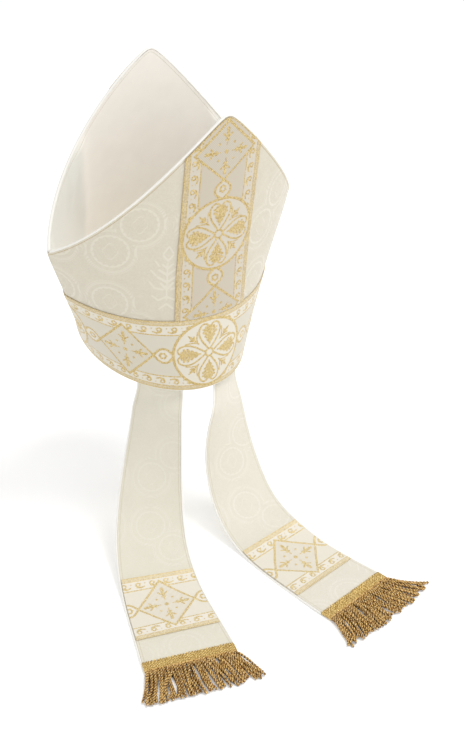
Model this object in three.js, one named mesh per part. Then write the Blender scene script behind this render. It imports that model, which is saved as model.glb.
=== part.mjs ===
// Bishop mitre: two stiff horned panels, patterned bands, piping, lining, gusset and two fringed lappets.
// Millimetres. +Z is up, the front of the mitre faces -Y and the wearer's left is +X.
// The origin is the middle of the head opening at the rim. The mitre leans back as it sits on a head.
import * as THREE from 'three';

const DEG = Math.PI / 180;

// Mitre body
const LEAN_BACK = 13 * DEG;
const RIM_HALF_DEPTH = 101.5;
const RIM_HALF_WIDTH = 84.6;
const SHOULDER_HALF_WIDTH = 139.4;
const SHOULDER_BULGE = 79.9;
const SHOULDER_HEIGHT = 137.6;
const PEAK_HEIGHT = 295.9;
const FLARE_ABOVE_SHOULDER = 0.41;
const SHOULDER_ROUNDING = 0.1;
const HORN_EDGE_HOLLOW = -0.19;
const HORN_EDGE_WAVE = 0.155;
const PEAK_ROUNDING = 0.03;
const PEAK_LIFT = 0.3;

// Layers, measured inwards from the outer face of the panels
const GAP = 0.3;
const PANEL_THICKNESS = 1.8;
const LINING_THICKNESS = 1.0;
const LINING_START = PANEL_THICKNESS + GAP;
const LINING_END = LINING_START + LINING_THICKNESS;
const GUSSET_THICKNESS = 1.0;
const BAND_THICKNESS = 0.9;

// Trim
const BAND_WIDTH = 82.4;
const EDGE_CORD_RADIUS = 1.05;
const RIM_CORD_RADIUS = 0.9;
const RIM_CORD_INSET = 0.9;
const EDGE_MARGIN = 0.6;
const LINING_HEM = 6;
const GUSSET_DROP = 52;
const GUSSET_STEEPNESS = 4;
const GUSSET_SAG = 9;
const GUSSET_BELOW_SHOULDER = 3;
const GUSSET_SEAM_CLEARANCE = 1;

// Lappets
const LAPPET_THICKNESS = 1.6;
const LAPPET_CORD_RADIUS = 0.95;
const LAPPET_SEWN_HEIGHT = 10;
const LAPPET_RELEASE = 9;
const LAPPET_BLEND = 34;
const LAPPET_WALL_OFFSET = 2;
const LAPPET_PATH_LEAD = 4;
const LAPPET_CORD_END = 1;
const HEADER_LENGTH = 11;
const HEADER_THICKNESS = 2.4;
const FRINGE_LENGTH = 42;
const FRINGE_THICKNESS = 4.4;
const FRINGE_RIDGES = 19;
const FRINGE_RIDGE_DEPTH = 0.7;
const FRINGE_SPREAD = 1.12;
const BAND_SHARE = 0.985;
const HEADER_SHARE = 1.02;

// Fineness of the facets
const PANEL_COLUMNS = 28;
const PANEL_ROWS = 10;
const GUSSET_COLUMNS = 20;
const GUSSET_ROWS = 8;
const RING_STEPS = 72;
const RING_ROWS = 4;
const TITULUS_COLUMNS = 8;
const TITULUS_ROWS = 10;
const HORN_EDGE_STEPS = 44;
const LAPPET_COLUMNS = 4;
const LAPPET_ROWS = 36;
const LAPPET_STEPS = 60;
const LAPPET_BAND_COLUMNS = 6;
const LAPPET_BAND_ROWS = 10;
const HEADER_ROWS = 2;
const FRINGE_ROWS = 3;
const CORD_SIDES = 6;

// Shares of the way up at which the middle row of a panel and of a titulus meets the shoulder's bend, how
// far that row drops at the side seams, and how the cord's points crowd towards the peak
const PANEL_BEND_SHARE = 0.5;
const TITULUS_BEND_SHARE = 0.4;
const BEND_ROW_DROP = 0.35;
const PEAK_CROWDING = 1.25;

// Steps for slopes and searches
const NORMAL_STEP = 0.004;
const SEAM_SEARCHES = 24;
const TOP_SEARCHES = 12;
const ARC_STEPS = 40;

// Each row of a path is an equal share of the length: angle below level, heading from the back towards
// the wearer's left, and sideways tilt.
const LEFT_LAPPET = {
  length: 328,
  topWidth: 48,
  footWidth: 88,
  start: [48, 75, -11.5],
  rimPlace: 0.4,
  bandStart: 0.65,
  path: [
    { below: 86, heading: 60, tilt: 4 },
    { below: 72, heading: 53, tilt: 2 },
    { below: 54, heading: 37, tilt: 0 },
    { below: 23, heading: 22, tilt: 0 },
    { below: 1, heading: 16, tilt: 0 },
    { below: 0, heading: 16, tilt: 0 },
  ],
};
const RIGHT_LAPPET = {
  length: 318,
  topWidth: 48,
  footWidth: 86,
  start: [-22, 95, -16.5],
  rimPlace: -0.24,
  bandStart: 0.632,
  path: [
    { below: 90, heading: -26, tilt: 12 },
    { below: 87, heading: -9, tilt: 4 },
    { below: 57, heading: 2, tilt: -2 },
    { below: 17, heading: -4, tilt: -8 },
    { below: 2, heading: -9, tilt: -2 },
    { below: 0, heading: -11, tilt: 0 },
  ],
};

const CLOTH = {
  damask: { color: 0xddd8cb, roughness: 0.72 },
  lining: { color: 0xdcd7cc, roughness: 0.8 },
  galloon: { color: 0xd9c89f, roughness: 0.55 },
  piping: { color: 0xf1eee6, roughness: 0.6 },
  lappet: { color: 0xe6e0d2, roughness: 0.72 },
  bullion: { color: 0xc9a35a, roughness: 0.45 },
};

const part = new THREE.Group();
part.name = 'bishop_mitre';
const mitre = new THREE.Group();
mitre.name = 'mitre';
mitre.rotation.x = -LEAN_BACK;
part.add(mitre);

function addPiece(group, name, geometry, cloth) {
  const material = new THREE.MeshStandardMaterial({ ...CLOTH[cloth], metalness: 0 });
  const mesh = new THREE.Mesh(geometry, material);
  mesh.name = name;
  group.add(mesh);
}

function clamp01(value) {
  return Math.min(1, Math.max(0, value));
}

function smooth(value) {
  const t = clamp01(value);
  return t * t * (3 - 2 * t);
}

// The mitre's outer face. across runs -1..1 from the wearer's right seam to the left one,
// side is +1 for the back panel and -1 for the front panel.
function outerPoint(across, height, side) {
  const turn = (across * Math.PI) / 2;
  const rim = [RIM_HALF_WIDTH * Math.sin(turn), RIM_HALF_DEPTH * Math.cos(turn)];
  const radius = (SHOULDER_HALF_WIDTH ** 2 + SHOULDER_BULGE ** 2) / (2 * SHOULDER_BULGE);
  const toCentre = radius - SHOULDER_BULGE;
  const halfTurn = Math.atan2(SHOULDER_HALF_WIDTH, toCentre);
  const shoulder = [radius * Math.sin(across * halfTurn), radius * Math.cos(across * halfTurn) - toCentre];
  const rise = height / SHOULDER_HEIGHT;
  const past = rise - 1;
  const rounded = (past + SHOULDER_ROUNDING) ** 2 / (4 * SHOULDER_ROUNDING);
  const above = Math.abs(past) < SHOULDER_ROUNDING ? rounded : Math.max(0, past);
  const flare = rise - above * (1 - FLARE_ABOVE_SHOULDER);
  const x = rim[0] + (shoulder[0] - rim[0]) * flare;
  const y = side * (rim[1] + (shoulder[1] - rim[1]) * flare);
  return new THREE.Vector3(x, y, height);
}

function inwardNormal(across, height, side) {
  const east = outerPoint(across + NORMAL_STEP, height, side).sub(outerPoint(across - NORMAL_STEP, height, side));
  const up = outerPoint(across, height + 1, side).sub(outerPoint(across, height - 1, side));
  return east.cross(up).multiplyScalar(side).normalize();
}

// A point of the wall, inset inwards from the outer face
function wallPoint(across, height, side, inset) {
  const normal = inwardNormal(across, height, side);
  return outerPoint(across, height, side).addScaledVector(normal, inset);
}

// How far across a panel reaches before it is clear of the seam plane y = 0 by half a gap
function seamReach(height, side, inset, clearance = GAP / 2) {
  let low = 0.5;
  let high = 1;
  for (let i = 0; i < SEAM_SEARCHES; i += 1) {
    const middle = (low + high) / 2;
    if (side * wallPoint(middle, height, side, inset).y > clearance) {
      low = middle;
    } else {
      high = middle;
    }
  }
  return low;
}

function hornEdgeHeight(across) {
  const u = Math.min(1, Math.hypot(across, PEAK_ROUNDING) - PEAK_ROUNDING * PEAK_LIFT * (1 - Math.abs(across)));
  const shape = 1 + HORN_EDGE_HOLLOW * u + HORN_EDGE_WAVE * u * (1 - 2 * u);
  return SHOULDER_HEIGHT + (PEAK_HEIGHT - SHOULDER_HEIGHT) * (1 - u) * shape;
}

// Where an arc of the given length from the middle of a panel ends
function acrossForArc(arc, height, side) {
  let length = 0;
  let previous = outerPoint(0, height, side);
  for (let i = 1; i <= ARC_STEPS * 2; i += 1) {
    const point = outerPoint(i / ARC_STEPS, height, side);
    const next = length + point.distanceTo(previous);
    if (next >= arc) {
      return (i - 1 + (arc - length) / (next - length)) / ARC_STEPS;
    }
    length = next;
    previous = point;
  }
  return 1;
}

// A closed body between two faces, each given as a function of (u, v) in 0..1
function sheetBody(faceA, faceB, columns, rows, closed = false) {
  const positions = [];
  const indices = [];
  const across = closed ? columns : columns + 1;
  const push = (face) => {
    for (let j = 0; j <= rows; j += 1) {
      for (let i = 0; i < across; i += 1) {
        const point = face(i / columns, j / rows);
        positions.push(point.x, point.y, point.z);
      }
    }
  };
  push(faceA);
  push(faceB);
  const other = across * (rows + 1);
  const at = (i, j) => j * across + (i % across);
  const quad = (a, b, c, d) => indices.push(a, b, c, a, c, d);
  for (let j = 0; j < rows; j += 1) {
    for (let i = 0; i < columns; i += 1) {
      quad(at(i, j), at(i + 1, j), at(i + 1, j + 1), at(i, j + 1));
      quad(other + at(i, j), other + at(i, j + 1), other + at(i + 1, j + 1), other + at(i + 1, j));
    }
  }
  for (let i = 0; i < columns; i += 1) {
    quad(at(i + 1, 0), at(i, 0), other + at(i, 0), other + at(i + 1, 0));
    quad(at(i, rows), at(i + 1, rows), other + at(i + 1, rows), other + at(i, rows));
  }
  if (!closed) {
    for (let j = 0; j < rows; j += 1) {
      quad(at(0, j), at(0, j + 1), other + at(0, j + 1), other + at(0, j));
      quad(at(columns, j + 1), at(columns, j), other + at(columns, j), other + at(columns, j + 1));
    }
  }
  const geometry = new THREE.BufferGeometry();
  geometry.setAttribute('position', new THREE.Float32BufferAttribute(positions, 3));
  geometry.setIndex(indices);
  return faceOutwards(geometry);
}

// Turns every triangle over when the body is inside out
function faceOutwards(geometry) {
  const position = geometry.getAttribute('position');
  const index = geometry.getIndex();
  const corner = [new THREE.Vector3(), new THREE.Vector3(), new THREE.Vector3()];
  let volume = 0;
  for (let i = 0; i < index.count; i += 3) {
    for (let k = 0; k < 3; k += 1) {
      corner[k].fromBufferAttribute(position, index.getX(i + k));
    }
    volume += corner[0].dot(corner[1].clone().cross(corner[2]));
  }
  if (volume < 0) {
    for (let i = 0; i < index.count; i += 3) {
      const swap = index.getX(i + 1);
      index.setX(i + 1, index.getX(i + 2));
      index.setX(i + 2, swap);
    }
  }
  geometry.computeVertexNormals();
  return geometry;
}

// A round cord along a list of points, with flat ends or joined into a ring
function cordBody(points, radius, closed = false) {
  const curve = new THREE.CatmullRomCurve3(points, closed, 'centripetal');
  if (closed) {
    return new THREE.TubeGeometry(curve, points.length, radius, CORD_SIDES, true);
  }
  const outline = new THREE.Shape();
  outline.absarc(0, 0, radius, 0, Math.PI * 2);
  return new THREE.ExtrudeGeometry(outline, {
    steps: points.length - 1,
    extrudePath: curve,
    bevelEnabled: false,
    curveSegments: CORD_SIDES / 2,
  });
}

// The height of a row of a panel. Its middle row follows the bend at the shoulder.
function rowHeight(place, share, bottom) {
  const bend = SHOULDER_HEIGHT * (1 - BEND_ROW_DROP * Math.abs(place) ** 3);
  const edge = hornEdgeHeight(place);
  const past = (share - PANEL_BEND_SHARE) / (1 - PANEL_BEND_SHARE);
  const height = past < 0 ? (bend * share) / PANEL_BEND_SHARE : bend + (edge - bend) * past;
  return Math.max(bottom, height);
}

// A layer of one panel between two insets, from a lowest height up to the horn's edge
function panelLayer(side, insetA, insetB, bottom) {
  const face = (inset) => (u, v) => {
    const place = u * 2 - 1;
    const height = rowHeight(place, v, bottom);
    return wallPoint(place * seamReach(height, side, inset), height, side, inset);
  };
  return sheetBody(face(insetA), face(insetB), PANEL_COLUMNS, PANEL_ROWS);
}

// The two panels and their lining
for (const [name, side] of [['front', -1], ['back', 1]]) {
  addPiece(mitre, `${name}_panel`, panelLayer(side, 0, PANEL_THICKNESS, 0), 'damask');
  const lining = panelLayer(side, LINING_START, LINING_END, LINING_HEM);
  addPiece(mitre, `${name}_lining`, lining, 'lining');
}

// The gusset: a soft valley of lining that closes the crown between the two horns
function gussetPoint(u, v, drop) {
  const place = u * 2 - 1;
  const dip = GUSSET_DROP * (1 - Math.abs(place) ** GUSSET_STEEPNESS);
  const height = SHOULDER_HEIGHT - GUSSET_BELOW_SHOULDER - dip;
  const inset = LINING_END + GAP * 2;
  const front = wallPoint(place * seamReach(height, -1, inset, GUSSET_SEAM_CLEARANCE), height, -1, inset);
  const back = wallPoint(place * seamReach(height, 1, inset, GUSSET_SEAM_CLEARANCE), height, 1, inset);
  const point = front.lerp(back, v);
  point.z -= GUSSET_SAG * Math.sin(Math.PI * v) * (1 - place * place) + drop;
  return point;
}
const gussetFace = (drop) => (u, v) => gussetPoint(u, v, drop);
const gusset = sheetBody(gussetFace(0), gussetFace(GUSSET_THICKNESS), GUSSET_COLUMNS, GUSSET_ROWS);
addPiece(mitre, 'gusset', gusset, 'lining');

// Bands stand just off the outer face
const BAND_INNER = -GAP;
const BAND_OUTER = -GAP - BAND_THICKNESS;

// A point of the ring round both panels. The outward direction is shared at the seams.
function ringPoint(turn, height, inset) {
  const quarter = turn * 4;
  const side = quarter < 2 ? 1 : -1;
  const across = quarter < 2 ? 1 - quarter : quarter - 3;
  const point = outerPoint(across, height, side);
  const normal = inwardNormal(across, height, side);
  if (1 - Math.abs(across) < 1e-6) {
    normal.y = 0;
    normal.normalize();
  }
  return point.addScaledVector(normal, inset);
}
const ringFace = (inset) => (u, v) => ringPoint(u % 1, BAND_WIDTH * v, inset);
const circulus = sheetBody(ringFace(BAND_OUTER), ringFace(BAND_INNER), RING_STEPS, RING_ROWS, true);
addPiece(mitre, 'circulus', circulus, 'galloon');

// The upright bands, cut to the horn at the top
function titulusPoint(u, v, side, inset) {
  const place = u * 2 - 1;
  const bottom = BAND_WIDTH + GAP;
  let top = PEAK_HEIGHT;
  for (let i = 0; i < TOP_SEARCHES; i += 1) {
    const across = acrossForArc((Math.abs(place) * BAND_WIDTH) / 2, top, side);
    top = (top + hornEdgeHeight(across) - EDGE_MARGIN) / 2;
  }
  const past = (v - TITULUS_BEND_SHARE) / (1 - TITULUS_BEND_SHARE);
  const lower = bottom + ((SHOULDER_HEIGHT - bottom) * v) / TITULUS_BEND_SHARE;
  const height = past < 0 ? lower : SHOULDER_HEIGHT + (top - SHOULDER_HEIGHT) * past;
  const across = Math.sign(place) * acrossForArc((Math.abs(place) * BAND_WIDTH) / 2, height, side);
  return wallPoint(across, height, side, inset);
}
for (const [name, side] of [['front', -1], ['back', 1]]) {
  const face = (inset) => (u, v) => titulusPoint(u, v, side, inset);
  const titulus = sheetBody(face(BAND_OUTER), face(BAND_INNER), TITULUS_COLUMNS, TITULUS_ROWS);
  addPiece(mitre, `${name}_titulus`, titulus, 'galloon');
}

// White piping along the sloping edges of each horn, over panel and lining alike
function hornEdgePoints(side, count) {
  const inset = LINING_END / 2;
  const seam = seamReach(SHOULDER_HEIGHT, side, inset);
  const end = seamReach(SHOULDER_HEIGHT, side, inset, EDGE_CORD_RADIUS + GAP) / seam;
  const points = [];
  const normals = [];
  for (let i = 0; i <= count; i += 1) {
    const share = (i / count) * 2 - 1;
    const place = end * Math.sign(share) * Math.abs(share) ** PEAK_CROWDING;
    const height = hornEdgeHeight(place);
    const across = place * seamReach(height, side, inset);
    points.push(wallPoint(across, height, side, inset));
    normals.push(inwardNormal(across, height, side));
  }
  return points.map((point, i) => {
    const along = points[Math.min(count, i + 1)].clone().sub(points[Math.max(0, i - 1)]).normalize();
    const lift = along.cross(normals[i]).normalize();
    if (lift.z < 0) {
      lift.negate();
    }
    return point.clone().addScaledVector(lift, EDGE_CORD_RADIUS + GAP);
  });
}
addPiece(mitre, 'front_edge_cord', cordBody(hornEdgePoints(-1, HORN_EDGE_STEPS), EDGE_CORD_RADIUS), 'piping');
addPiece(mitre, 'back_edge_cord', cordBody(hornEdgePoints(1, HORN_EDGE_STEPS), EDGE_CORD_RADIUS), 'piping');

// The cord along the bottom of the rim
const rimPoints = [];
for (let i = 0; i < RING_STEPS; i += 1) {
  rimPoints.push(ringPoint(i / RING_STEPS, -RIM_CORD_RADIUS - GAP, RIM_CORD_INSET));
}
addPiece(mitre, 'rim_cord', cordBody(rimPoints, RIM_CORD_RADIUS, true), 'piping');

// Lappets: ribbons sewn inside the back of the rim, which hang and then curve outwards
function angleAt(path, column, share) {
  const last = path.length - 1;
  const place = clamp01(share) * last;
  const index = Math.min(last - 1, Math.floor(place));
  const t = place - index;
  const value = (k) => path[Math.min(last, Math.max(0, k))][column];
  const a = value(index);
  const b = value(index + 1);
  const slopeA = (b - value(index - 1)) / 2;
  const slopeB = (value(index + 2) - a) / 2;
  const t2 = t * t;
  const t3 = t2 * t;
  const start = a * (2 * t3 - 3 * t2 + 1) + b * (3 * t2 - 2 * t3);
  return (start + slopeA * (t3 - 2 * t2 + t) + slopeB * (t3 - t2)) * DEG;
}

function lappetFrames(lappet) {
  const frames = [];
  const centre = new THREE.Vector3(...lappet.start);
  let previous = null;
  for (let i = 0; i <= LAPPET_STEPS; i += 1) {
    const share = i / LAPPET_STEPS;
    const below = angleAt(lappet.path, 'below', share);
    const heading = angleAt(lappet.path, 'heading', share);
    const tilt = angleAt(lappet.path, 'tilt', share);
    const along = new THREE.Vector3(
      Math.cos(below) * Math.sin(heading),
      Math.cos(below) * Math.cos(heading),
      -Math.sin(below),
    );
    const level = new THREE.Vector3(Math.cos(heading), -Math.sin(heading), 0);
    const normal = level.clone().cross(along);
    const across = level.multiplyScalar(Math.cos(tilt)).addScaledVector(normal, Math.sin(tilt)).normalize();
    if (previous) {
      const step = along.clone().add(previous).multiplyScalar(lappet.length / LAPPET_STEPS / 2);
      centre.add(step);
    }
    previous = along;
    frames.push({ centre: centre.clone(), along, across, normal: across.clone().cross(along).normalize() });
  }
  return frames;
}

// A point of the ribbon: distance from its top end, place across from -1 to 1, and height off its middle
function lappetPoint(lappet, frames, distance, place, offset) {
  const share = (distance - LAPPET_PATH_LEAD) / lappet.length;
  const at = clamp01(share) * LAPPET_STEPS;
  const index = Math.min(LAPPET_STEPS - 1, Math.floor(at));
  const t = at - index;
  const a = frames[index];
  const b = frames[index + 1];
  const mix = (key) => a[key].clone().lerp(b[key], t);
  const width = lappet.topWidth + (lappet.footWidth - lappet.topWidth) * clamp01(share);
  const beyond = distance - LAPPET_PATH_LEAD - clamp01(share) * lappet.length;
  const free = mix('centre').addScaledVector(mix('along').normalize(), beyond);
  free.addScaledVector(mix('across').normalize(), (place * width) / 2);
  free.addScaledVector(mix('normal').normalize(), offset);
  const blend = smooth((distance - LAPPET_RELEASE) / LAPPET_BLEND);
  if (blend >= 1) {
    return free;
  }
  const height = LAPPET_SEWN_HEIGHT - distance;
  const arc = (place * width) / 2;
  const reach = lappet.rimPlace + arc / (RIM_HALF_WIDTH + RIM_HALF_DEPTH) / (Math.PI / 4);
  const inset = LINING_END + LAPPET_WALL_OFFSET - offset;
  const wall = wallPoint(reach, height, 1, inset).applyAxisAngle(new THREE.Vector3(1, 0, 0), -LEAN_BACK);
  return wall.lerp(free, blend);
}

for (const [name, lappet] of [['left', LEFT_LAPPET], ['right', RIGHT_LAPPET]]) {
  const frames = lappetFrames(lappet);
  const total = lappet.length + LAPPET_PATH_LEAD;
  const point = (distance, place, offset) => lappetPoint(lappet, frames, distance, place, offset);
  const half = LAPPET_THICKNESS / 2;
  const widthAt = (distance) => lappet.topWidth
    + ((lappet.footWidth - lappet.topWidth) * clamp01((distance - LAPPET_PATH_LEAD) / lappet.length));

  // A slab of the ribbon's form between two distances and two offsets, over a share of its width
  const slab = (from, to, low, high, share, columns, rows) => {
    const face = (offset) => (u, v) => point(from + (to - from) * v, (u * 2 - 1) * share, offset);
    return sheetBody(face(high), face(low), columns, rows);
  };
  const ribbon = slab(0, total, -half, half, 1, LAPPET_COLUMNS, LAPPET_ROWS);
  addPiece(part, `${name}_lappet`, ribbon, 'lappet');

  const bandFrom = lappet.bandStart * lappet.length + LAPPET_PATH_LEAD;
  const bandTo = bandFrom + BAND_WIDTH;
  const bandLow = half + GAP;
  const bandHigh = bandLow + BAND_THICKNESS;
  const band = slab(bandFrom, bandTo, bandLow, bandHigh, BAND_SHARE, LAPPET_BAND_COLUMNS, LAPPET_BAND_ROWS);
  addPiece(part, `${name}_lappet_band`, band, 'galloon');

  for (const [edge, sign] of [['outer', name === 'left' ? 1 : -1], ['inner', name === 'left' ? -1 : 1]]) {
    const points = [];
    for (let i = 0; i <= LAPPET_ROWS; i += 1) {
      const distance = LAPPET_CORD_END + ((total - 2 * LAPPET_CORD_END) * i) / LAPPET_ROWS;
      const clear = 1 + (2 * (LAPPET_CORD_RADIUS + GAP)) / widthAt(distance);
      points.push(point(distance, sign * clear, 0));
    }
    addPiece(part, `${name}_lappet_${edge}_cord`, cordBody(points, LAPPET_CORD_RADIUS), 'piping');
  }

  const headerFrom = total + GAP;
  const headerTo = headerFrom + HEADER_LENGTH;
  const headerHigh = HEADER_THICKNESS - half;
  const header = slab(headerFrom, headerTo, -half, headerHigh, HEADER_SHARE, LAPPET_BAND_COLUMNS, HEADER_ROWS);
  addPiece(part, `${name}_fringe_header`, header, 'bullion');

  // The fringe's outer form: a ridged slab that ends unevenly, and is thinner at its two ends
  const ridge = (u) => 0.5 + 0.5 * Math.cos(u * FRINGE_RIDGES * Math.PI * 2);
  const uneven = (u) => 1.6 * Math.sin(u * 9.3 + 0.4) + 1.1 * Math.sin(u * 23.7);
  const fringeFace = (upper) => (u, v) => {
    const length = FRINGE_LENGTH + uneven(u);
    const spread = 1 + (FRINGE_SPREAD - 1) * v * v;
    const thinned = 0.75 + 0.25 * Math.sin(Math.PI * (0.15 + 0.75 * v));
    const thickness = (FRINGE_THICKNESS - FRINGE_RIDGE_DEPTH * ridge(u)) * thinned;
    const offset = upper ? thickness - half : -half;
    return point(headerTo + GAP + length * v, (u * 2 - 1) * spread, offset);
  };
  const fringe = sheetBody(fringeFace(true), fringeFace(false), FRINGE_RIDGES * 2, FRINGE_ROWS);
  addPiece(part, `${name}_fringe`, fringe, 'bullion');
}

export default part;
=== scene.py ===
"""Looks of the bishop mitre. Metres, +Z up, the mitre faces -Y and the wearer's left is +X."""

import math

import bmesh
import bpy
import numpy as np
from mathutils import Matrix, Vector


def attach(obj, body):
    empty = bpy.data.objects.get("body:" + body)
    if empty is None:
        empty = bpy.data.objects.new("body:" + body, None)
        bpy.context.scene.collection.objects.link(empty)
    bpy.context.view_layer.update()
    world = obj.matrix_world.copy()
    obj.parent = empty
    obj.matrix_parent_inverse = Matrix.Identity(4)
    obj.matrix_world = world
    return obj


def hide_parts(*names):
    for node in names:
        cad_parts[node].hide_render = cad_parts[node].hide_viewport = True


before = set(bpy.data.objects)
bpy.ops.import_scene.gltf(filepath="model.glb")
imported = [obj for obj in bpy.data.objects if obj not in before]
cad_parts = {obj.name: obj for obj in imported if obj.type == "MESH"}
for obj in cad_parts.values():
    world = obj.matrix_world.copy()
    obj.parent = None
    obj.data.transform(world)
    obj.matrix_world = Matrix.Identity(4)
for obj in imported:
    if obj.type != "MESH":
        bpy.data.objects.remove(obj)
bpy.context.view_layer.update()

MM = 0.001
DEG = math.pi / 180

# ---------------------------------------------------------------- sizes
LEAN_BACK = 13 * DEG
RIM_HALF_DEPTH = 101.5 * MM
RIM_HALF_WIDTH = 84.6 * MM
SHOULDER_HALF_WIDTH = 139.4 * MM
SHOULDER_BULGE = 79.9 * MM
SHOULDER_HEIGHT = 137.6 * MM
PEAK_HEIGHT = 295.9 * MM
FLARE_ABOVE_SHOULDER = 0.41
SHOULDER_ROUNDING = 0.1
HORN_EDGE_HOLLOW = -0.19
HORN_EDGE_WAVE = 0.155
PEAK_ROUNDING = 0.03

PANEL_THICKNESS = 1.8 * MM
LINING_START = 2.1 * MM
LINING_THICKNESS = 1.0 * MM
LINING_END = LINING_START + LINING_THICKNESS
BAND_WIDTH = 82.4 * MM
BAND_THICKNESS = 0.9 * MM
BAND_LIFT = 0.3 * MM
EDGE_CORD_RADIUS = 1.05 * MM
RIM_CORD_RADIUS = 0.9 * MM

LAPPET_THICKNESS = 1.6 * MM
LAPPET_CORD_RADIUS = 0.95 * MM
LAPPET_SEWN_HEIGHT = 10 * MM
LAPPET_RELEASE = 9 * MM
LAPPET_BLEND = 34 * MM
LAPPET_WALL_OFFSET = 2 * MM
LAPPET_PATH_LEAD = 4 * MM
HEADER_LENGTH = 11 * MM
HEADER_THICKNESS = 2.4 * MM
FRINGE_LENGTH = 42 * MM
FLOOR_LEVEL = -188.5 * MM

# Rows of a path: angle below level, heading, sideways tilt, at equal shares of the length
LEFT_LAPPET = {
    "length": 328 * MM, "top": 48 * MM, "foot": 88 * MM, "start": (48, 75, -11.5),
    "rim_place": 0.4, "band_start": 0.65,
    "path": [(86, 60, 4), (72, 53, 2), (54, 37, 0), (23, 22, 0), (1, 16, 0), (0, 16, 0)],
}
RIGHT_LAPPET = {
    "length": 318 * MM, "top": 48 * MM, "foot": 86 * MM, "start": (-22, 95, -16.5),
    "rim_place": -0.24, "band_start": 0.632,
    "path": [(90, -26, 12), (87, -9, 4), (57, 2, -2), (17, -4, -8), (2, -9, -2), (0, -11, 0)],
}


# ---------------------------------------------------------------- mitre form
def smooth(value):
    t = np.clip(value, 0, 1)
    return t * t * (3 - 2 * t)


def outer_point(across, height, side):
    """The outer face: across -1..1 towards the wearer's left, side +1 back and -1 front."""
    turn = across * math.pi / 2
    rim_x = RIM_HALF_WIDTH * np.sin(turn)
    rim_y = RIM_HALF_DEPTH * np.cos(turn)
    radius = (SHOULDER_HALF_WIDTH**2 + SHOULDER_BULGE**2) / (2 * SHOULDER_BULGE)
    to_centre = radius - SHOULDER_BULGE
    half_turn = math.atan2(SHOULDER_HALF_WIDTH, to_centre)
    shoulder_x = radius * np.sin(across * half_turn)
    shoulder_y = radius * np.cos(across * half_turn) - to_centre
    rise = height / SHOULDER_HEIGHT
    past = rise - 1
    rounded = (past + SHOULDER_ROUNDING) ** 2 / (4 * SHOULDER_ROUNDING)
    above = np.where(np.abs(past) < SHOULDER_ROUNDING, rounded, np.maximum(0, past))
    flare = rise - above * (1 - FLARE_ABOVE_SHOULDER)
    x = rim_x + (shoulder_x - rim_x) * flare
    y = side * (rim_y + (shoulder_y - rim_y) * flare)
    return np.stack([x, y, height + 0 * x], -1)


def inward_normal(across, height, side):
    step = 0.004
    east = outer_point(across + step, height, side) - outer_point(across - step, height, side)
    up = outer_point(across, height + MM, side) - outer_point(across, height - MM, side)
    normal = np.cross(east, up) * np.reshape(side, (-1, 1))
    return normal / np.linalg.norm(normal, axis=-1, keepdims=True)


def wall_point(across, height, side, inset):
    inset = np.reshape(inset, (-1, 1))
    return outer_point(across, height, side) + inward_normal(across, height, side) * inset


def seam_reach(height, side, inset, clearance=0.15 * MM):
    low_end = np.full(height.shape, 0.5)
    high_end = np.ones(height.shape)
    for _ in range(24):
        middle = (low_end + high_end) / 2
        clear = side * wall_point(middle, height, side, inset)[:, 1] > clearance
        low_end = np.where(clear, middle, low_end)
        high_end = np.where(clear, high_end, middle)
    return low_end


def horn_edge(across):
    u = np.minimum(1, np.hypot(across, PEAK_ROUNDING) - PEAK_ROUNDING * 0.3 * (1 - np.abs(across)))
    shape = 1 + HORN_EDGE_HOLLOW * u + HORN_EDGE_WAVE * u * (1 - 2 * u)
    return SHOULDER_HEIGHT + (PEAK_HEIGHT - SHOULDER_HEIGHT) * (1 - u) * shape


def leaning(points):
    """Mitre points turned to the way the mitre leans."""
    c, s = math.cos(LEAN_BACK), math.sin(LEAN_BACK)
    x, y, z = points[:, 0], points[:, 1], points[:, 2]
    return np.stack([x, c * y + s * z, -s * y + c * z], -1)


def arc_table(height, side, count=120):
    """Arc lengths from the middle of a panel at one height."""
    across = np.linspace(0, 1.15, count)
    points = outer_point(across, np.full(count, height), side)
    steps = np.linalg.norm(np.diff(points, axis=0), axis=1)
    return across, np.concatenate([[0], np.cumsum(steps)])


def arc_grid(side):
    heights = np.linspace(-12 * MM, PEAK_HEIGHT + 12 * MM, 60)
    tables = [arc_table(h, side) for h in heights]
    return heights, tables


ARC_HEIGHTS, ARC_TABLES = arc_grid(1)
ARC_ACROSS = ARC_TABLES[0][0]
ARC_LENGTHS = np.array([t[1] for t in ARC_TABLES])


def height_row(height):
    place = (height - ARC_HEIGHTS[0]) / (ARC_HEIGHTS[1] - ARC_HEIGHTS[0])
    index = np.clip(place.astype(int), 0, len(ARC_HEIGHTS) - 2)
    return index, place - index


def arc_of(across, height):
    """Arc length from the middle of a panel to a place across it, by table."""
    index, t = height_row(height)
    fine = np.clip(np.abs(across) / (ARC_ACROSS[1] - ARC_ACROSS[0]), 0, len(ARC_ACROSS) - 1.001)
    k = fine.astype(int)
    f = fine - k
    row0 = ARC_LENGTHS[index, k] * (1 - f) + ARC_LENGTHS[index, k + 1] * f
    row1 = ARC_LENGTHS[index + 1, k] * (1 - f) + ARC_LENGTHS[index + 1, k + 1] * f
    return np.sign(across) * (row0 * (1 - t) + row1 * t)


def across_of(arc, height):
    """The place across a panel at an arc length from its middle, by halving."""
    low_end = np.zeros(arc.shape)
    high_end = np.full(arc.shape, 1.1)
    for _ in range(26):
        middle = (low_end + high_end) / 2
        short = arc_of(middle, height) < np.abs(arc)
        low_end = np.where(short, middle, low_end)
        high_end = np.where(short, high_end, middle)
    return np.sign(arc) * low_end


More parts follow.
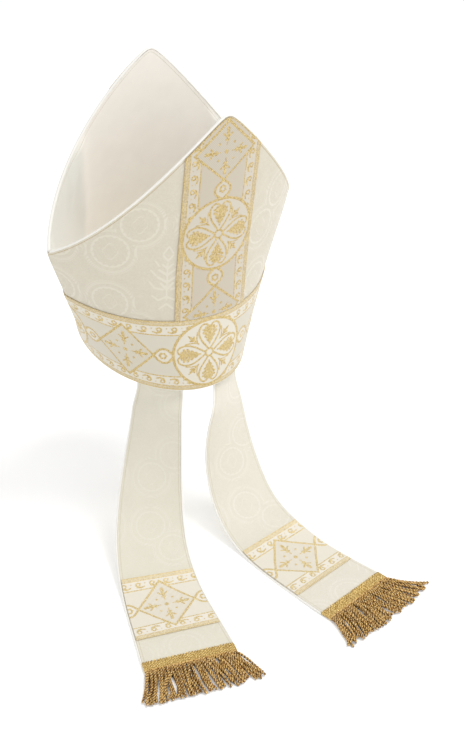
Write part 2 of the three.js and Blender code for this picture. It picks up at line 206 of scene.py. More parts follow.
# ---------------------------------------------------------------- lappet form
def eased(column, share):
    last = len(column) - 1
    place = np.clip(share, 0, 1) * last
    index = np.minimum(last - 1, place.astype(int))
    t = place - index
    column = np.array(column)
    a, b = column[index], column[index + 1]
    slope_a = (b - column[np.maximum(0, index - 1)]) / 2
    slope_b = (column[np.minimum(last, index + 2)] - a) / 2
    level = a * (2 * t**3 - 3 * t**2 + 1) + b * (3 * t**2 - 2 * t**3)
    return level + slope_a * (t**3 - 2 * t**2 + t) + slope_b * (t**3 - t**2)


def lappet_frames(lappet, steps=240):
    share = np.linspace(0, 1, steps + 1)
    below, heading, tilt = [eased([row[k] for row in lappet["path"]], share) * DEG for k in range(3)]
    along = np.stack([np.cos(below) * np.sin(heading), np.cos(below) * np.cos(heading), -np.sin(below)], -1)
    level = np.stack([np.cos(heading), -np.sin(heading), 0 * heading], -1)
    normal = np.cross(level, along)
    across = level * np.cos(tilt)[:, None] + normal * np.sin(tilt)[:, None]
    normal = np.cross(across, along)
    step = (along[1:] + along[:-1]) / 2 * lappet["length"] / steps
    centre = np.array(lappet["start"]) * MM + np.vstack([[0, 0, 0], np.cumsum(step, axis=0)])
    return centre, along, across, normal


def lappet_width(lappet, distance):
    share = np.clip((distance - LAPPET_PATH_LEAD) / lappet["length"], 0, 1)
    return lappet["top"] + (lappet["foot"] - lappet["top"]) * share


def lappet_point(lappet, distance, place, offset):
    """Distance from the top end, place across -1..1, and height off the middle of the cloth."""
    centre, along, across, normal = lappet["frames"]
    share = (distance - LAPPET_PATH_LEAD) / lappet["length"]
    at = np.clip(share, 0, 1) * (len(centre) - 1)
    index = np.minimum(len(centre) - 2, at.astype(int))
    t = (at - index)[:, None]

    def mix(rows):
        return rows[index] * (1 - t) + rows[index + 1] * t

    width = lappet_width(lappet, distance)
    beyond = distance - LAPPET_PATH_LEAD - np.clip(share, 0, 1) * lappet["length"]
    free = mix(centre) + mix(along) * beyond[:, None]
    free = free + mix(across) * (place * width / 2)[:, None] + mix(normal) * np.reshape(offset, (-1, 1))
    blend = smooth((distance - LAPPET_RELEASE) / LAPPET_BLEND)[:, None]
    height = LAPPET_SEWN_HEIGHT - distance
    reach = lappet["rim_place"] + place * width / 2 / (RIM_HALF_WIDTH + RIM_HALF_DEPTH) / (math.pi / 4)
    wall = leaning(wall_point(reach, height, 1, LINING_END + LAPPET_WALL_OFFSET - offset))
    return wall * (1 - blend) + free * blend


for each in (LEFT_LAPPET, RIGHT_LAPPET):
    each["frames"] = lappet_frames(each)
    each["total"] = each["length"] + LAPPET_PATH_LEAD


# ---------------------------------------------------------------- galloon chart
# Lengths in the chart are shares of the band's width. x runs along the band from a medallion's
# middle and y across it from the band's middle line.
PERIOD = 2.09
DIAMOND_AT = PERIOD / 2
RING_RADIUS = 0.462
DIAMOND_HALF = (0.35, 0.392)
EYE_AT = 0.585
BORDER_INNER = 0.303
BORDER_OUTER = 0.437
DROP_PITCH = 0.174

# Half of each outline: out along the motif's own axis, then across it
HEART = [(0.062, 0.020), (0.12, 0.062), (0.19, 0.108), (0.26, 0.136), (0.33, 0.138), (0.385, 0.112),
         (0.408, 0.073), (0.398, 0.038), (0.372, 0.023), (0.347, 0.032), (0.342, 0.052)]
EYE = [(0.700, 0.0), (0.676, 0.028), (0.645, 0.068), (0.602, 0.098), (0.553, 0.1), (0.513, 0.079),
       (0.49, 0.048), (0.476, 0.036)]
# Strokes of a motif: start, end, half width
LEAF = [((0.120, 0), (0.35, 0), 0.011), ((0.150, 0), (0.182, 0.034), 0.012),
        ((0.190, 0), (0.232, 0.060), 0.014),
        ((0.235, 0), (0.286, 0.084), 0.016), ((0.280, 0), (0.332, 0.086), 0.014),
        ((0.315, 0), (0.358, 0.052), 0.014), ((0.345, 0.0), (0.372, 0.008), 0.012)]
SPRIG = [((0.205, 0), (0.300, 0), 0.010), ((0.290, 0), (0.350, 0), 0.017), ((0.350, 0), (0.385, 0), 0.008),
         ((0.280, 0), (0.322, 0.036), 0.011), ((0.235, 0.006), (0.285, 0.046), 0.008),
         ((0.285, 0.046), (0.335, 0.104), 0.007)]
LILY = [((0.075, 0), (0.135, 0), 0.007), ((0.130, 0), (0.220, 0), 0.015), ((0.215, 0), (0.262, 0), 0.020),
        ((0.160, 0), (0.205, 0.056), 0.011), ((0.120, 0), (0.138, 0.026), 0.008)]
# A curled drop of the border: start, end, half width, from the drop's head
DROP_TAIL = [((0.027, 0.0), (0.014, -0.036), 0.011), ((0.014, -0.036), (-0.028, -0.050), 0.013),
             ((-0.028, -0.050), (-0.070, -0.038), 0.010), ((-0.070, -0.038), (-0.104, -0.016), 0.006)]


def stroke_distance(x, y, strokes):
    """Signed distance to the nearest of some round-ended strokes, negative inside."""
    nearest = np.full(x.shape, 9.0)
    for (ax, ay), (bx, by), half in strokes:
        dx, dy = bx - ax, by - ay
        t = np.clip(((x - ax) * dx + (y - ay) * dy) / (dx * dx + dy * dy), 0, 1)
        nearest = np.minimum(nearest, np.hypot(x - ax - t * dx, y - ay - t * dy) - half)
    return nearest


def outline_strokes(points, half, cuts=4):
    """A smooth line through points, as short strokes."""
    points = np.array([points[0]] + list(points) + [points[-1]])
    fine = []
    for a, b, c, d in zip(points, points[1:], points[2:], points[3:]):
        for t in np.arange(cuts) / cuts:
            bend = (2 * a - 5 * b + 4 * c - d) * t**2 + (3 * b - a - 3 * c + d) * t**3
            fine.append(b + ((c - a) * t + bend) / 2)
    fine.append(points[-1])
    return [(tuple(a), tuple(b), half) for a, b in zip(fine, fine[1:]) if np.hypot(*(b - a)) > 1e-6]


HEART_STROKES = outline_strokes(HEART, 0.0115)
EYE_STROKES = outline_strokes(EYE, 0.0145)


def folded(x, y):
    """Folds a fourfold motif onto one of its axes."""
    x, y = np.abs(x), np.abs(y)
    return np.maximum(x, y), np.minimum(x, y)


def galloon_chart(along, across):
    """Signed distances in metres, negative inside: gold, field, stripe and hatched diamond."""
    x = np.abs((along + PERIOD / 2) % PERIOD - PERIOD / 2)
    y = np.abs(across)
    medallion = np.hypot(x, y) - RING_RADIUS
    dx, dy = np.abs(x - DIAMOND_AT), y
    a, b = DIAMOND_HALF
    diamond = (dx / a + dy / b - 1) / math.hypot(1 / a, 1 / b)
    out, side = folded(x, y)
    turned = ((x + y) / math.sqrt(2), np.abs(x - y) / math.sqrt(2))
    near = stroke_distance(out, side, HEART_STROKES)
    near = np.minimum(near, stroke_distance(out, side, LEAF))
    near = np.minimum(near, stroke_distance(turned[0], turned[1], SPRIG))
    near = np.minimum(near, np.abs(np.hypot(x, y) - 0.052) - 0.012)
    inside_medallion = np.minimum(near, np.abs(medallion) - 0.0185)
    out, side = folded(dx, dy)
    lily = stroke_distance(out, side, LILY)
    dots = np.minimum(np.hypot(dx, dy) - 0.027, np.hypot(dx - 0.095, dy - 0.100) - 0.016)
    inside_diamond = np.minimum(np.minimum(lily, dots), np.abs(diamond) - 0.0150)
    eye = stroke_distance(x, y, EYE_STROKES)
    angle = np.arctan2(y, x - EYE_AT)
    rosette = np.abs(np.hypot(x - EYE_AT, y) - 0.036 * (1 + 0.14 * np.cos(6 * angle))) - 0.0125
    eye_region = np.hypot((x - EYE_AT) / 1.15, y) - 0.092
    inside_eye = np.where(eye_region < 0.03, rosette, 9)
    step = (along % DROP_PITCH) - DROP_PITCH / 2
    level = y - (BORDER_INNER + BORDER_OUTER) / 2 - 0.016
    head = np.abs(np.hypot(step, level) - 0.024) - 0.0085
    drops = np.minimum(head, stroke_distance(step, level, DROP_TAIL))
    spot = np.minimum(np.hypot(np.abs(step) - DROP_PITCH / 2, level - 0.012) - 0.009,
                      np.hypot(step + 0.038, level - 0.018) - 0.006)
    border = np.minimum(np.minimum(drops, spot), np.abs(y - BORDER_INNER) - 0.008)
    border = np.minimum(border, np.abs(y - BORDER_OUTER - 0.004) - 0.006)
    border = np.minimum(border, np.abs(y - 0.492) - 0.007)
    motif = np.minimum(medallion, diamond)
    gold = np.where(medallion < 0.0185, inside_medallion, np.where(diamond < 0.0150, inside_diamond, border))
    gold = np.where(motif > 0.01, np.minimum(gold, np.minimum(eye, inside_eye)), gold)
    field = np.minimum(np.minimum(BORDER_INNER - y, motif), eye_region)
    stripe = np.minimum(y - BORDER_OUTER, medallion)
    return {"gold": gold * BAND_WIDTH, "field": -field * BAND_WIDTH, "stripe": -stripe * BAND_WIDTH,
            "hatch": diamond * BAND_WIDTH}


# ---------------------------------------------------------------- damask chart
# The damask repeats a wreath of linked roundels round a palmette.
DAMASK_REPEAT = (165 * MM, 190 * MM)
ROUNDELS = [(55 * MM, 30.5 * MM), (29 * MM, 62 * MM)]
ROUNDEL_RINGS = [26.5 * MM, 24.4 * MM, 22.8 * MM]
ROUNDEL_INNER = 18.6 * MM
DAMASK_LINE = 0.5 * MM
DAMASK_CENTRE = (50 * MM, 128.5 * MM)
# Strokes in millimetres from the palmette's middle: start, end, half width
FROND = [((0, -22), (0, 20), 0.8), ((0, -10), (6, -3), 1.2), ((0, -2), (9, 4), 1.3), ((0, 6), (8, 12), 1.2),
         ((0, 13), (5, 18), 1.0), ((0, -18), (8, -22), 1.1), ((8, -22), (14, -17), 1.0),
         ((4, -10), (12, -8), 1.1),
         ((12, -8), (17, -1), 1.0), ((11, 6), (16, 12), 1.0), ((8, 16), (12, 22), 0.9),
         ((0, 22), (5, 28), 1.0),
         ((0, -26), (7, -32), 1.0), ((5, 30), (0, 38), 0.9)]


def damask_chart(x, y):
    """Signed distance in metres to the figures of the damask, negative inside."""
    wide, tall = DAMASK_REPEAT
    cx = np.abs((x + wide / 2) % wide - wide / 2)
    cy = (y + tall / 2) % tall - tall / 2
    radii = [np.hypot(cx - mx, np.abs(cy) - my) for mx, my in ROUNDELS]
    first = radii[0] < radii[1]
    radius = np.where(first, radii[0], radii[1])
    rx = np.where(first, cx - ROUNDELS[0][0], cx - ROUNDELS[1][0])
    ry = np.abs(cy) - np.where(first, ROUNDELS[0][1], ROUNDELS[1][1])
    angle = np.arctan2(ry, rx)
    rings = np.min([np.abs(radius - ring) for ring in ROUNDEL_RINGS], axis=0) - DAMASK_LINE
    lobes = ROUNDEL_INNER - 1.2 * MM * (1 + 1.3 * np.abs(np.cos(9 * angle)))
    band = np.maximum(radius - ROUNDEL_INNER, lobes - radius)
    cartouche = np.abs(np.hypot(rx, ry * 0.8) - 6.5 * MM * (1 + 0.12 * np.cos(4 * angle))) - DAMASK_LINE
    roundel = np.minimum(np.minimum(rings, band), cartouche)
    palmette = stroke_distance(cx / MM, cy / MM, FROND) * MM
    return np.where(radius < ROUNDEL_RINGS[0] + DAMASK_LINE, roundel, palmette)


# ---------------------------------------------------------------- pieces
CRISP_CORNER = 60 * DEG
WELD = 2e-6


def mesh_of_grids(name, count, columns, rows):
    """A mesh of flat grids, with the share along and across of every vertex."""
    bm = bmesh.new()
    for _ in range(count):
        bmesh.ops.create_grid(bm, x_segments=columns, y_segments=rows, size=0.5)
    mesh = bpy.data.meshes.new(name)
    bm.to_mesh(mesh)
    bm.free()
    flat = np.empty(len(mesh.vertices) * 3)
    mesh.vertices.foreach_get("co", flat)
    flat = flat.reshape(-1, 3)
    return mesh, flat[:, 0] + 0.5, flat[:, 1] + 0.5


def shape_mesh(mesh, points, lengths, extras):
    """Puts every vertex in its place and keeps its pattern lengths."""
    mesh.vertices.foreach_set("co", points.ravel())
    corner = np.empty(len(mesh.loops), dtype=np.int32)
    mesh.loops.foreach_get("vertex_index", corner)
    layer = mesh.uv_layers.new(name="UVMap")
    layer.data.foreach_set("uv", lengths[corner].astype(np.float32).ravel())
    for key, values in extras.items():
        mesh.attributes.new(key, "FLOAT", "POINT").data.foreach_set("value", values.astype(np.float32))


def piece_of(name, bm, mesh, facing=None):
    """Faces outwards, smooth shading with crisp corners, and an object for the mesh."""
    bmesh.ops.recalc_face_normals(bm, faces=bm.faces)
    bm.normal_update()
    if facing is not None:
        towards, behind = facing
        sample = list(bm.faces)[behind + 50 :: 97]
        if sum(f.normal.dot(towards(f.calc_center_median())) for f in sample) < 0:
            bmesh.ops.reverse_faces(bm, faces=bm.faces)
    for f in bm.faces:
        f.smooth = True
    for e in bm.edges:
        e.smooth = e.calc_face_angle(0) < CRISP_CORNER
    bm.to_mesh(mesh)
    bm.free()
    piece = bpy.data.objects.new(name, mesh)
    bpy.context.collection.objects.link(piece)
    return piece


def cloth_piece(name, face, columns, rows, thickness, facing, coarse=5, ring=False):
    """Cloth with a finely cut face, a coarser back and closed edges.

    face takes u, v in 0..1 and a depth behind the face, and returns points, pattern lengths and
    named values for the material.
    """
    mesh, u, v = mesh_of_grids(name, 1, columns, rows)
    rear, rear_u, rear_v = mesh_of_grids(name + "_back", 1, columns // coarse, rows // coarse)
    points, lengths, extras = face(u, v, 0 * u)
    shape_mesh(mesh, points, lengths, dict(extras, row=v))
    points, lengths, extras = face(rear_u, rear_v, 0 * rear_u + thickness)
    shape_mesh(rear, points, lengths, dict(extras, row=rear_v))
    bm = bmesh.new()
    bm.from_mesh(rear)
    bpy.data.meshes.remove(rear)
    border = [e for e in bm.edges if e.is_boundary]
    bmesh.ops.subdivide_edges(bm, edges=border, cuts=coarse - 1)
    behind = len(bm.faces)
    bm.from_mesh(mesh)
    if ring:
        bmesh.ops.remove_doubles(bm, verts=bm.verts, dist=WELD)
    row = bm.verts.layers.float["row"]
    open_edges = [e for e in bm.edges if e.is_boundary]
    groups = [open_edges]
    if ring:
        groups = [[e for e in open_edges if (e.verts[0][row] > 0.5) == upper] for upper in (False, True)]
    for edges in groups:
        bmesh.ops.bridge_loops(bm, edges=edges)
    return piece_of(name, bm, mesh, facing=(facing, behind))


def tube_piece(name, paths, radius, sides, ring=False, twist=None, wide=None):
    """Cords along paths (cord, place, xyz). A twist has a depth, plies and a pitch.

    wide gives each place a direction in which its cord is flattened out, and how many times over.
    """
    paths = np.asarray(paths)
    if ring:
        ahead = np.roll(paths, -1, 1) - np.roll(paths, 1, 1)
        paths = np.concatenate([paths, paths[:, :1]], axis=1)
        ahead = np.concatenate([ahead, ahead[:, :1]], axis=1)
    else:
        ahead = np.gradient(paths, axis=1)
    count, places = paths.shape[:2]
    ahead = ahead / (np.linalg.norm(ahead, axis=2, keepdims=True) + 1e-12)
    steps = np.linalg.norm(np.diff(paths, axis=1), axis=2)
    length = np.concatenate([np.zeros((count, 1)), np.cumsum(steps, axis=1)], axis=1)
    normal = np.cross(ahead[:, 0], [0.3, 0.2, 0.93])
    normals = []
    for place in range(places):
        normal = normal - ahead[:, place] * np.sum(ahead[:, place] * normal, axis=1, keepdims=True)
        normal = normal / np.linalg.norm(normal, axis=1, keepdims=True)
        normals.append(normal)
    normals = np.stack(normals, axis=1)
    if ring:
        normals[:, -1] = normals[:, 0]
    stretch = 1.0
    if wide:
        directions, stretch = wide
        normals = directions - ahead * np.sum(ahead * directions, axis=2, keepdims=True)
        normals = normals / np.linalg.norm(normals, axis=2, keepdims=True)
    others = np.cross(ahead, normals)
    mesh, u, v = mesh_of_grids(name, count, sides, places - 1)
    cord = np.repeat(np.arange(count), (sides + 1) * places)
    at = np.rint(v * (places - 1)).astype(int)
    angle = u * 2 * math.pi
    run = length[cord, at]
    reach = np.full(u.shape, radius)
    ply = np.ones(u.shape)
    if twist:
        depth, plies, pitch = twist
        ply = np.cos(plies * angle - 2 * math.pi * run / pitch)
        reach = reach * (1 + depth * ply)
    if not ring:
        left = np.minimum(run, length[cord, -1] - run) / radius
        reach = reach * np.sqrt(np.clip(left * (2 - left), 0.0004, 1)) * (1 - (left > 1)) + reach * (left > 1)
    spot = paths[cord, at] + normals[cord, at] * (stretch * reach * np.cos(angle))[:, None]
    spot = spot + others[cord, at] * (reach * np.sin(angle))[:, None]
    shape_mesh(mesh, spot, np.stack([angle * radius, run], -1), {"ply": ply})
    bm = bmesh.new()
    bm.from_mesh(mesh)
    bmesh.ops.remove_doubles(bm, verts=bm.verts, dist=WELD)
    bmesh.ops.holes_fill(bm, edges=[e for e in bm.edges if e.is_boundary])
    return piece_of(name, bm, mesh)


def finish_piece(piece, material, *nodes, slot):
    piece.data.materials.clear()
    piece.data.materials.append(material)
    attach(piece, "root")
    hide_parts(*nodes)
    return piece


# ---------------------------------------------------------------- materials
FIBRE_IOR = 1.53
# Near-black brown of the painted shade in the grooves of the gold bullion and gimp.
PAINTED_SHADE_COLOUR = 0x261004
STITCH_INSET = 1.8 * MM
STITCH_PITCH = 3.2 * MM


def srgb(value):
    """A linear colour from an sRGB hex value."""
    channels = [((value >> shift) & 255) / 255 for shift in (16, 8, 0)]
    return tuple(c / 12.92 if c <= 0.04045 else ((c + 0.055) / 1.055) ** 2.4 for c in channels) + (1.0,)


def node(tree, kind, inputs=(), **settings):
    """Adds a node with its settings, and fills its inputs with values or links."""
    made = tree.nodes.new("ShaderNode" + kind)
    for key, value in settings.items():
        setattr(made, key, value)
    for key, value in dict(inputs).items():
        if isinstance(value, bpy.types.Node):
            value = value.outputs[0]
        if isinstance(value, bpy.types.NodeSocket):
            tree.links.new(value, made.inputs[key])
        else:
            made.inputs[key].default_value = value
    return made


def cloth_material(name, roughness, sheen):
    material = bpy.data.materials.new(name)
    material.use_nodes = True
    shader = material.node_tree.nodes["Principled BSDF"]
    shader.inputs["Roughness"].default_value = roughness
    shader.inputs["IOR"].default_value = FIBRE_IOR
    shader.inputs["Sheen Weight"].default_value = sheen
    shader.inputs["Sheen Roughness"].default_value = 0.4
    shader.inputs["Specular IOR Level"].default_value = 0.3
    return material, material.node_tree, shader


def threads(tree, across_pitch, along_pitch, slant=0.0):
    """Height of crossing threads, 0..1, drawn a little coarser than real so that it shows."""
    uv = node(tree, "UVMap", uv_map="UVMap")
    parts = node(tree, "SeparateXYZ", {0: uv})
    leaning_x = node(tree, "Math", {0: parts.outputs[1], 1: slant, 2: parts.outputs[0]},
                     operation="MULTIPLY_ADD")
    waves = []
    for place, pitch in ((leaning_x, across_pitch), (parts.outputs[1], along_pitch)):
        turns = node(tree, "Math", {0: place, 1: 2 * math.pi / pitch}, operation="MULTIPLY")
        waves.append(node(tree, "Math", {0: turns}, operation="SINE"))
    both = node(tree, "Math", {0: waves[0], 1: waves[1]}, operation="ADD")
    return node(tree, "Math", {0: both, 1: 0.25, 2: 0.5}, operation="MULTIPLY_ADD")


def cloudy(tree, colour, size, amount):
    """Slight unevenness of tone over the cloth."""
    where = node(tree, "TexCoord").outputs["Object"]
    cloud = node(tree, "TexNoise", {"Vector": where, "Scale": 1 / size, "Detail": 3.0})
    tone = node(tree, "MapRange", {0: cloud, 1: 0.3, 2: 0.7, 3: 1 - amount, 4: 1.0})
    grey = node(tree, "CombineXYZ", {0: tone, 1: tone, 2: tone})
    return node(tree, "Mix", {0: 1.0, 6: colour, 7: grey}, data_type="RGBA", blend_type="MULTIPLY").outputs[2]


def inside(tree, name, edge=0.0, softness=0.00025):
    """1 where a named distance is below the edge, 0 beyond it."""
    value = node(tree, "Attribute", attribute_name=name).outputs["Fac"]
    return node(tree, "MapRange", {0: value, 1: edge - softness, 2: edge + softness, 3: 1.0, 4: 0.0},
                interpolation_type="SMOOTHSTEP")


def stitched(tree, colour, thread_colour, inset, pitch):
    """A line of machine stitches, an inset in from the edge."""
    edge = node(tree, "Attribute", attribute_name="edge").outputs["Fac"]
    off = node(tree, "Math", {0: edge, 1: inset}, operation="SUBTRACT")
    off = node(tree, "Math", {0: off}, operation="ABSOLUTE")
    line = node(tree, "MapRange", {0: off, 1: 0.25 * MM, 2: 0.5 * MM, 3: 1.0, 4: 0.0})
    run = node(tree, "Attribute", attribute_name="run").outputs["Fac"]
    turns = node(tree, "Math", {0: run, 1: 2 * math.pi / pitch}, operation="MULTIPLY")
    wave = node(tree, "Math", {0: turns}, operation="SINE")
    dash = node(tree, "MapRange", {0: wave, 1: -0.9, 2: -0.5, 3: 0.25, 4: 1.0})
    mask = node(tree, "Math", {0: line, 1: dash}, operation="MULTIPLY")
    mixed = node(tree, "Mix", {0: mask, 6: colour, 7: thread_colour}, data_type="RGBA").outputs[2]
    return mixed, mask


def plain_cloth(name, colour, roughness, pitches, slant, stitch=None, facing=None):
    """Plain woven polyester: matt fine threads, with a soft sheen at a low angle."""
    material, tree, shader = cloth_material(name, roughness, 0.2)
    tint = cloudy(tree, srgb(colour), 18 * MM, 0.03)
    height = threads(tree, pitches[0], pitches[1], slant)
    if facing:
        # Past the crease line the colour turns greyer: painted shade beside the crease.
        side = inside(tree, "facing", 0.0, 0.04)
        tint = node(tree, "Mix", {0: side, 6: tint, 7: srgb(facing)}, data_type="RGBA").outputs[2]
    if stitch:
        tint, mask = stitched(tree, tint, srgb(stitch[0]), stitch[1], stitch[2])
        height = node(tree, "Math", {0: mask, 1: -1.5, 2: height}, operation="MULTIPLY_ADD")
    tree.links.new(tint, shader.inputs["Base Color"])
    relief = node(tree, "Bump", {"Height": height, "Distance": 0.05 * MM, "Strength": 1.0})
    tree.links.new(relief.outputs[0], shader.inputs["Normal"])
    return material


def damask(name, ground, figure, stitch_colour, stitch_inset):
    """Silk damask, tone on tone: the figures are its woven pattern, less rough than the ground, and painted
    lighter as painted sheen.

    Its threads and small leaf work are drawn coarser than real, so that they show.
    """
    material, tree, shader = cloth_material(name, 0.62, 0.2)
    height = threads(tree, 0.55 * MM, 0.55 * MM, 0.5)
    mask = inside(tree, "damask", 0.0, 0.35 * MM)
    where = node(tree, "TexCoord").outputs["Object"]
    fine = node(tree, "TexNoise", {"Vector": where, "Scale": 1 / (2.2 * MM), "Detail": 3.0,
                                     "Distortion": 1.4})
    leafy = node(tree, "MapRange", {0: fine, 1: 0.46, 2: 0.56, 3: 0.0, 4: 0.4})
    mask = node(tree, "Math", {0: mask, 1: leafy}, operation="MAXIMUM")
    base = cloudy(tree, srgb(ground), 16 * MM, 0.03)
    # The figures' lighter colour is painted sheen; the figures themselves are the woven pattern.
    tint = node(tree, "Mix", {0: mask, 6: base, 7: srgb(figure)}, data_type="RGBA").outputs[2]
    tint, stitch = stitched(tree, tint, srgb(stitch_colour), stitch_inset, 2.4 * MM)
    tree.links.new(tint, shader.inputs["Base Color"])
    rough = node(tree, "MapRange", {0: mask, 1: 0.0, 2: 1.0, 3: 0.68, 4: 0.5})
    tree.links.new(rough.outputs[0], shader.inputs["Roughness"])
    height = node(tree, "Math", {0: mask, 1: 0.7, 2: height}, operation="MULTIPLY_ADD")
    height = node(tree, "Math", {0: stitch, 1: -2.0, 2: height}, operation="MULTIPLY_ADD")
    relief = node(tree, "Bump", {"Height": height, "Distance": 0.06 * MM, "Strength": 1.0})
    tree.links.new(relief.outputs[0], shader.inputs["Normal"])
    return material


def galloon(name, field, ground, rib, gold_dark, gold_painted_highlight):
    """Woven galloon: matt satin field, ribbed ground, and figures of metallic thread with random spots of
    painted highlight.
    """
    material, tree, shader = cloth_material(name, 0.6, 0.15)
    where = node(tree, "TexCoord").outputs["Object"]
    fine = node(tree, "TexNoise", {"Vector": where, "Scale": 1 / (0.6 * MM), "Detail": 2.0})
    ragged = node(tree, "Math", {0: fine, 1: 0.5}, operation="SUBTRACT")
    figure = node(tree, "Attribute", attribute_name="gold").outputs["Fac"]
    figure = node(tree, "Math", {0: ragged, 1: 0.5 * MM, 2: figure}, operation="MULTIPLY_ADD")
    gold = node(tree, "MapRange", {0: figure, 1: -0.2 * MM, 2: 0.22 * MM, 3: 1.0, 4: 0.0},
                interpolation_type="SMOOTHSTEP")
    stripe = inside(tree, "stripe")
    speckle = node(tree, "MapRange", {0: fine, 1: 0.42, 2: 0.58, 3: 0.45, 4: 0.85})
    stripe = node(tree, "Math", {0: stripe, 1: speckle}, operation="MULTIPLY")
    gold = node(tree, "Math", {0: gold, 1: stripe}, operation="MAXIMUM")
    uv = node(tree, "UVMap", uv_map="UVMap")
    parts = node(tree, "SeparateXYZ", {0: uv})
    slope = node(tree, "Math", {0: parts.outputs[1], 1: 1.6, 2: parts.outputs[0]}, operation="MULTIPLY_ADD")
    turns = node(tree, "Math", {0: slope, 1: 2 * math.pi / (3.0 * MM)}, operation="MULTIPLY")
    ribs = node(tree, "Math", {0: turns}, operation="SINE")
    ribs = node(tree, "MapRange", {0: ribs, 1: -0.4, 2: 0.7, 3: 0.0, 4: 1.0})
    ribs = node(tree, "Math", {0: ribs, 1: inside(tree, "hatch")}, operation="MULTIPLY")
    base = node(tree, "Mix", {0: ribs, 6: srgb(ground), 7: srgb(rib)}, data_type="RGBA").outputs[2]
    base = node(tree, "Mix", {0: inside(tree, "field"), 6: base, 7: srgb(field)}, data_type="RGBA").outputs[2]
    # Painted highlights: random lighter spots on the gold thread.
    painted_glint = node(tree, "TexNoise", {"Vector": where, "Scale": 1 / (0.9 * MM), "Detail": 2.0})
    painted_glint = node(tree, "MapRange", {0: painted_glint, 1: 0.40, 2: 0.60, 3: 0.0, 4: 1.0})
    thread = node(tree, "Mix", {0: painted_glint, 6: srgb(gold_dark), 7: srgb(gold_painted_highlight)},
                  data_type="RGBA").outputs[2]
    tint = node(tree, "Mix", {0: gold, 6: base, 7: thread}, data_type="RGBA").outputs[2]
    tree.links.new(tint, shader.inputs["Base Color"])
    metal = node(tree, "Math", {0: gold, 1: 0.35}, operation="MULTIPLY")
    tree.links.new(metal.outputs[0], shader.inputs["Metallic"])
    rough = node(tree, "MapRange", {0: gold, 1: 0.0, 2: 1.0, 3: 0.62, 4: 0.4})
    tree.links.new(rough.outputs[0], shader.inputs["Roughness"])
    height = node(tree, "Math", {0: threads(tree, 0.7 * MM, 0.7 * MM), 1: 0.3, 2: gold},
                  operation="MULTIPLY_ADD")
    relief = node(tree, "Bump", {"Height": height, "Distance": 0.15 * MM, "Strength": 1.0})
    tree.links.new(relief.outputs[0], shader.inputs["Normal"])
    return material


def bullion(name, dark, light, pitch, depth):
    """Metallic gold thread wound on a core, its fine turns in relief, with random spots of painted highlight
    and painted shade, and painted shade in the twist's grooves and between strands.
    """
    material, tree, shader = cloth_material(name, 0.38, 0.0)
    turns = threads(tree, pitch, pitch, 1.0)
    where = node(tree, "TexCoord").outputs["Object"]
    # Painted highlight and painted shade in random spots over the turns.
    painted_glint = node(tree, "TexNoise", {"Vector": where, "Scale": 1 / (1.0 * MM), "Detail": 2.0})
    share = node(tree, "MapRange", {0: painted_glint, 1: 0.42, 2: 0.54, 3: 0.0, 4: 1.0})
    tint = node(tree, "Mix", {0: share, 6: srgb(dark), 7: srgb(light)}, data_type="RGBA").outputs[2]
    # Painted shade: the twist's grooves, and places that other strands close in on, darken towards a
    # near-black brown; depth sets how far.
    ply = node(tree, "Attribute", attribute_name="ply").outputs["Fac"]
    painted_hollow_shade = node(tree, "MapRange", {0: ply, 1: -1.0, 2: 0.2, 3: depth, 4: 0.0})
    painted_occlusion_shade = node(tree, "AmbientOcclusion", {"Distance": 3.5 * MM}, samples=6).outputs["AO"]
    painted_occlusion_shade = node(tree, "MapRange", {0: painted_occlusion_shade, 1: 0.2, 2: 0.85, 3: depth, 4: 0.0})
    painted_hollow_shade = node(tree, "Math", {0: painted_hollow_shade, 1: painted_occlusion_shade}, operation="MAXIMUM")
    tint = node(tree, "Mix", {0: painted_hollow_shade, 6: tint, 7: srgb(PAINTED_SHADE_COLOUR)}, data_type="RGBA").outputs[2]
    tree.links.new(tint, shader.inputs["Base Color"])
    shader.inputs["Metallic"].default_value = 0.3
    shader.inputs["Specular IOR Level"].default_value = 0.2
    relief = node(tree, "Bump", {"Height": turns, "Distance": 0.25 * MM, "Strength": 1.0})
    tree.links.new(relief.outputs[0], shader.inputs["Normal"])
    return material


# The lining's second colour is its greyer tint past the crease line, painted shade beside the crease.
lining_cloth = plain_cloth("cream_lining_twill", 0xF6F1E9, 0.75, (0.6 * MM, 0.45 * MM), 0.6,
                           stitch=(0xDFD9CC, 2.6 * MM, STITCH_PITCH), facing=0xEAE9E2)
damask_cloth = damask("cream_silk_damask", 0xD0C9B8, 0xD8D2C3, 0xB7A47A, STITCH_INSET)
# The two lappets are one damask: the right copy's lighter colours and the left copy's darker ones are painted
# light and painted shade.
lappet_cloths = {"left": damask("lappet_damask_shaded_copy", 0xDCD7C7, 0xDFDBCC, 0xD0C8B4, 2.2 * MM),
                 "right": damask("lappet_damask_lit_copy", 0xDDD8CA, 0xE2DDD1, 0xD2CBB8, 2.2 * MM)}
piping_cloth = plain_cloth("white_satin_piping", 0xF1EFE9, 0.5, (0.6 * MM, 0.9 * MM), 0.8)
# The upright copy on the tituli is the same galloon painted darker all over, as painted dimmer sheen of the
# satin turned upright.
galloon_cloth = galloon("gold_figured_galloon", 0xD0CABB, 0xDAD4C6, 0xC1B8A3, 0xAE9358, 0xDCC893)
galloon_upright_painted_dim = galloon("gold_figured_galloon_upright", 0xC3B9A8, 0xCBC3B4, 0xB5AB99, 0xA68C54, 0xDAC590)
galloon_lappet = galloon("pale_figured_galloon", 0xE0DACC, 0xE4DED2, 0xD0C8B6, 0xC6AE76, 0xECDBAC)
# For the bullion and gimp, the first two colours are painted shade and painted highlight in random spots, and
# the last figure sets how dark the painted shade in the grooves goes.
bullion_strands = bullion("twisted_gold_bullion", 0x93581B, 0xFFD88E, 0.9 * MM, 1.0)
gimp_braid = bullion("woven_gold_gimp", 0xB28A42, 0xF9DC92, 1.3 * MM, 0.6)


